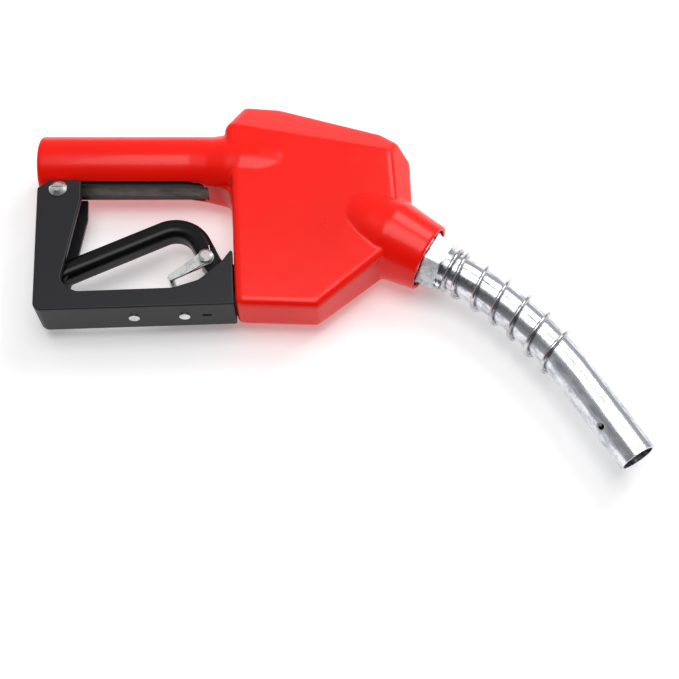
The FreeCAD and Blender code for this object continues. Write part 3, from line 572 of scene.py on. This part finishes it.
@dataclass(frozen=True)
class CastingFinish:
    """Sand-cast aluminium under a thin dark wash, with a painted sheen: paler patches along the
    middle of its keel.

    Attributes:
        name: the material's name.
        wash: the colour of the wash.
        paler_patch: the colour of the painted sheen along the keel's middle.
        keel_half: how far the painted sheen reaches from the keel's middle plane.
    """

    name: str
    wash: Colour = (0.016, 0.015, 0.013)
    paler_patch: Colour = (0.12, 0.105, 0.085)
    keel_half: float = 5.4 * MM

    def material(self) -> bpy.types.Material:
        """The finish as a material."""
        shader = Shader(self.name)
        sand = shader.noise(0.7 * MM, 4.0, 0.65)
        sheen_patches = shader.noise(9 * MM, 4.0, 0.6)
        drawn = shader.noise(2 * MM, 3.0, 0.6, shader.moved((0, 0, 0), (0, 0, 0), (0.1, 1.0, 1.0)))
        across = shader.axes(shader.place())[2]
        # painted sheen: paler towards the keel's middle plane, broken into patches by the noise
        # above
        sheen_band = (across * across * (1.0 / self.keel_half**2)).between(1.0, 0.15)
        paler_patch = sheen_band * (drawn * 0.5 + sheen_patches * 0.5).between(0.34, 0.62)
        colour = shader.mix(self.wash, self.paler_patch, paler_patch)
        roughness = 0.42 + sand * 0.16 - paler_patch * 0.08
        relief = shader.bump(sand, 0.02 * MM)
        return shader.finish(colour, roughness, relief, {"Specular IOR Level": 0.4})


@dataclass(frozen=True)
class SpoutFinish:
    """Drawn aluminium tube, bent to an arc: draw lines follow the tube, under cloudy patches.

    Attributes:
        name: the material's name.
        bright: the colour where the metal is burnished.
        clouded: the colour of its hazy patches.
    """

    name: str
    bright: Colour = (0.78, 0.79, 0.81)
    clouded: Colour = (0.44, 0.45, 0.52)

    def material(self) -> bpy.types.Material:
        """The finish as a material."""
        shader = Shader(self.name)
        lines = shader.noise(
            0.4 * MM, 3.0, 0.6, shader.moved((0, 0, 0), (0, 0, 59.5), (0.03, 1.0, 1.0))
        )
        streaks = shader.noise(
            2.6 * MM, 4.0, 0.62, shader.moved((0, 0, 0), (0, 0, 55), (0.22, 1.0, 1.0))
        )
        clouds = shader.noise(7 * MM, 5.0, 0.65)
        crystals = shader.noise(1.1 * MM, 3.0, 0.7)
        dull = (streaks * 0.45 + clouds * 0.35 + crystals * 0.2).between(0.42, 0.6)
        scratches = shader.noise(
            1.5 * MM, 2.0, 0.5, shader.moved((0, 0, 0), (12, 0, 35), (0.08, 2.5, 1.0))
        ).between(0.68, 0.74)
        colour = shader.mix(self.bright, self.clouded, dull)
        colour = shader.mix(colour, shade(self.clouded, 0.75), scratches * 0.4)
        roughness = 0.10 + dull * 0.24 + lines * 0.05 + scratches * 0.1
        relief = shader.bump(lines, 0.005 * MM)
        relief = shader.bump(crystals - scratches * 0.5, 0.02 * MM, relief)
        return shader.finish(colour, roughness, relief, {"Metallic": 1.0})


Finish = Union[
    VinylFinish, PlasticFinish, MetalFinish, RubberFinish, CastingFinish, SpoutFinish
]

FINISHES: dict[str, Finish] = {
    "casting": CastingFinish("cast_aluminium"),
    "red_vinyl": VinylFinish("red_vinyl"),
    "black_plastic": PlasticFinish(
        "black_nylon", (0.0095, 0.0095, 0.012), 0.36, wear=0.2, shine=0.36
    ),
    "black_lever": PlasticFinish(
        "black_enamel", (0.0025, 0.0025, 0.003), 0.24, 1.2 * MM, 0.01 * MM, 0.1, 0.22, 0.04
    ),
    "zinc_steel": MetalFinish(
        "zinc_plated_steel", (0.80, 0.80, 0.81), (0.62, 0.62, 0.60), 0.2, 0.18
    ),
    "plated_nut": MetalFinish(
        "plated_nut", (0.78, 0.79, 0.81), (0.52, 0.53, 0.58), 0.12, 0.2, Grain.TURNED, 31.0
    ),
    "spring_steel": MetalFinish(
        "spring_wire", (0.70, 0.70, 0.71), (0.42, 0.42, 0.44), 0.12, 0.16
    ),
    "brass": MetalFinish("brass", (0.78, 0.56, 0.25), (0.60, 0.40, 0.17), 0.22, 0.2),
    "stainless": MetalFinish(
        "stainless_steel", (0.62, 0.61, 0.60), (0.50, 0.49, 0.48), 0.22, 0.14
    ),
    "bare_aluminium": SpoutFinish("drawn_aluminium"),
    "black_rubber": RubberFinish("black_rubber"),
    "ptfe": PlasticFinish("white_ptfe", (0.72, 0.71, 0.68), 0.42, 0.4 * MM, 0.01 * MM, 0.1),
    "acetal": PlasticFinish("cream_acetal", (0.62, 0.58, 0.48), 0.32, 0.4 * MM, 0.01 * MM, 0.1),
}


class Wardrobe:
    """The finishes by material slot, each made once."""

    def __init__(self) -> None:
        """Starts with no material made."""
        self._made: dict[str, bpy.types.Material] = {}

    def material(self, slot: str) -> bpy.types.Material:
        """The material of a slot.

        Args:
            slot: one of the record's material slots.

        Returns:
            The material, made at the first call.
        """
        if slot not in self._made:
            self._made[slot] = FINISHES[slot].material()
        return self._made[slot]

    def dress_node(self, node: bpy.types.Object, slot: str) -> None:
        """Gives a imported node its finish.

        Args:
            node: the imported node's object.
            slot: the material slot that its record names.
        """
        for material_slot in node.material_slots:
            material_slot.material = self.material(slot)


# ---------------------------------------------------------------- pieces


def only(piece: bpy.types.Object) -> None:
    """Makes one object the selected and the active one.

    Args:
        piece: that object.
    """
    bpy.ops.object.select_all(action="DESELECT")
    piece.select_set(True)
    bpy.context.view_layer.objects.active = piece


def merged_copy(node: bpy.types.Object, name: str) -> bpy.types.Object:
    """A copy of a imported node's mesh with its doubled points merged.

    Args:
        node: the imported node.
        name: the copy's name.

    Returns:
        The copy, with no material.
    """
    piece = bpy.data.objects.new(name, node.data.copy())
    bpy.context.scene.collection.objects.link(piece)
    piece.data.materials.clear()
    only(piece)
    bpy.ops.object.mode_set(mode="EDIT")
    bpy.ops.mesh.select_all(action="SELECT")
    bpy.ops.mesh.remove_doubles(threshold=MERGE_GAP)
    bpy.ops.mesh.normals_make_consistent(inside=False)
    bpy.ops.object.mode_set(mode="OBJECT")
    return piece


@dataclass
class VinylSkin:
    """The hand insulator as it leaves its dip: vinyl that has run soft over every edge.

    Attributes:
        replaced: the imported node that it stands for.
        core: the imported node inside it, which its inner side keeps clear of.
        grain: the side of the small cells that it is rebuilt from.
        reach: how far from the core a point lies before it may move.
        rounds: how often the outer side is smoothed.
        keep: the share of the rebuilt faces that stay.
    """

    replaced: str = "hand_insulator"
    core: str = "body_casting"
    grain: float = 0.8 * MM
    reach: float = 1.3 * MM
    rounds: int = 9
    keep: float = 0.5

    def build(self, nodes: Mapping[str, bpy.types.Object]) -> bpy.types.Object:
        """Makes the skin.

        Args:
            nodes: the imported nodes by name.

        Returns:
            The finished piece.
        """
        piece = merged_copy(nodes[self.replaced], "vinyl_skin")
        remesh = piece.modifiers.new("cells", "REMESH")
        remesh.mode = "VOXEL"
        remesh.voxel_size = self.grain
        bpy.ops.object.modifier_apply(modifier=remesh.name)
        outer = self.outer_points(piece, nodes[self.core])
        group = piece.vertex_groups.new(name="outer")
        group.add(outer, 1.0, "REPLACE")
        smooth = piece.modifiers.new("run", "SMOOTH")
        smooth.factor = 0.5
        smooth.iterations = self.rounds
        smooth.vertex_group = group.name
        bpy.ops.object.modifier_apply(modifier=smooth.name)
        thin = piece.modifiers.new("thin", "DECIMATE")
        thin.ratio = self.keep
        bpy.ops.object.modifier_apply(modifier=thin.name)
        bpy.ops.object.shade_smooth()
        return piece

    def outer_points(self, piece: bpy.types.Object, core: bpy.types.Object) -> list[int]:
        """The points that lie away from the core.

        Args:
            piece: the rebuilt skin.
            core: the node inside it.

        Returns:
            Their numbers.
        """
        points = [vertex.co.copy() for vertex in core.data.vertices]
        faces = [tuple(face.vertices) for face in core.data.polygons]
        tree = BVHTree.FromPolygons(points, faces)
        far = []
        for vertex in piece.data.vertices:
            nearest = tree.find_nearest(vertex.co, 4 * self.reach)
            if nearest[3] is None or nearest[3] > self.reach:
                far.append(vertex.index)
        return far

    def dress(self, piece: bpy.types.Object, wardrobe: Wardrobe) -> None:
        """Colours the skin and binds it to the body.

        Args:
            piece: the finished piece.
            wardrobe: the finishes.
        """
        piece.data.materials.append(wardrobe.material("red_vinyl"))
        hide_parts(self.replaced)
        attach(piece, "body")


# ---------------------------------------------------------------- studio


@dataclass
class Studio:
    """The pale floor, the soft lights and the camera.

    Attributes:
        floor_half: half the floor's side.
        floor_glow: how much light comes through the floor, as from a light table.
        eye: where the camera stands.
        tilt: the camera's tilt from straight down, in degrees.
        lens: the focal length on a 36 mm sensor.
        dark_wall: the way from the nozzle to the middle of the dark wall.
        room_light: how bright the pale walls are.
        wall_light: how bright the dark wall is.
        wall_edge: the cosine from the wall's middle at which it starts to darken.
        wall_core: the cosine at which it is darkest.
        subject: the point that the floor and the overhead light are centred on.
    """

    floor_half: float = 12.0
    floor_glow: float = 0.26
    eye: Triple = (0.168, -0.387, 0.5435)
    tilt: float = 27.0
    lens: float = 60.97
    dark_wall: Triple = (0.0, -0.87, 0.50)
    room_light: float = 0.46
    wall_light: float = 0.06
    wall_edge: float = 0.30
    wall_core: float = 0.80
    subject: Triple = (0.15, -0.05, 0.0)

    def build(self, low_z: float) -> None:
        """Makes the whole studio.

        Args:
            low_z: the height that the nozzle lies on.
        """
        self.floor(low_z)
        self.sky()
        self.light("key", (0.62, 0.48, 0.80), (0.15, -0.03, 0.0), 0.5, 4.2)
        self.light("overhead", (0.14, -0.12, 1.30), self.subject, 0.8, 9.0)
        self.camera()

    def floor(self, low_z: float) -> None:
        """Lays the floor.

        Args:
            low_z: its height.
        """
        bpy.ops.object.select_all(action="DESELECT")
        middle = (self.subject[0], self.subject[1], low_z)
        bpy.ops.mesh.primitive_plane_add(size=2 * self.floor_half, location=middle)
        floor = bpy.context.object
        floor.name = "studio_floor"
        shader = Shader("floor_paper")
        tone = shader.noise(0.4, 2.0, 0.5)
        colour = shader.mix((0.90, 0.90, 0.90), (0.93, 0.93, 0.93), tone)
        floor.data.materials.append(
            shader.finish(
                colour,
                0.9,
                None,
                {
                    "Specular IOR Level": 0.1,
                    "Emission Color": WHITE,
                    "Emission Strength": self.floor_glow,
                },
            )
        )
        floor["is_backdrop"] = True

    def sky(self) -> None:
        """Sets a pale room whose wall behind the camera is dark, so that metal has contrast."""
        world = bpy.data.worlds.new("studio_room")
        world.use_nodes = True
        tree = world.node_tree
        background = tree.nodes["Background"]
        facing = tree.nodes.new("ShaderNodeTexCoord")
        towards = tree.nodes.new("ShaderNodeVectorMath")
        towards.operation = "DOT_PRODUCT"
        towards.inputs[1].default_value = Vector(self.dark_wall).normalized()
        tree.links.new(facing.outputs["Generated"], towards.inputs[0])
        ramp = tree.nodes.new("ShaderNodeMapRange")
        ramp.interpolation_type = "SMOOTHSTEP"
        ramp.inputs["From Min"].default_value = self.wall_edge
        ramp.inputs["From Max"].default_value = self.wall_core
        ramp.inputs["To Min"].default_value = self.room_light
        ramp.inputs["To Max"].default_value = self.wall_light
        tree.links.new(towards.outputs["Value"], ramp.inputs["Value"])
        background.inputs["Color"].default_value = ROOM_TINT
        tree.links.new(ramp.outputs["Result"], background.inputs["Strength"])
        bpy.context.scene.world = world
        bpy.context.scene.view_settings.view_transform = "Standard"

    def light(self, name: str, place: Triple, target: Triple, size: float, power: float) -> None:
        """Hangs a square soft box.

        Args:
            name: the light's name.
            place: where it hangs.
            target: the point that it faces.
            size: its side.
            power: its power in watts.
        """
        data = bpy.data.lights.new(name, "AREA")
        data.shape = "SQUARE"
        data.size = size
        data.energy = power
        lamp = bpy.data.objects.new(name, data)
        lamp.location = place
        aim = Vector(target) - Vector(place)
        lamp.rotation_euler = aim.to_track_quat("-Z", "Y").to_euler()
        bpy.context.scene.collection.objects.link(lamp)

    def camera(self) -> None:
        """Sets the camera up."""
        data = bpy.data.cameras.new("studio_camera")
        data.lens = self.lens
        data.sensor_width = SENSOR_WIDTH
        data.clip_start = 0.01
        camera = bpy.data.objects.new("studio_camera", data)
        camera.location = self.eye
        camera.rotation_euler = (math.radians(self.tilt), 0.0, 0.0)
        bpy.context.scene.collection.objects.link(camera)
        bpy.context.scene.camera = camera


def main() -> None:
    """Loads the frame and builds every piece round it."""
    logging.basicConfig(level=logging.INFO, format="%(name)s: %(message)s")
    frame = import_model()
    cad_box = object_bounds()
    wardrobe = Wardrobe()
    for part in frame["record"]["subparts"]:
        node = frame["nodes"][part["node"]]
        wardrobe.dress_node(node, part["material_slot"])
        LOG.info("%s has the finish %s", part["node"], part["material_slot"])
    skin = VinylSkin()
    skin.dress(skin.build(frame["nodes"]), wardrobe)
    LOG.info("vinyl_skin is built")
    Studio().build(cad_box[0][2])


if __name__ == "__main__":
    main()
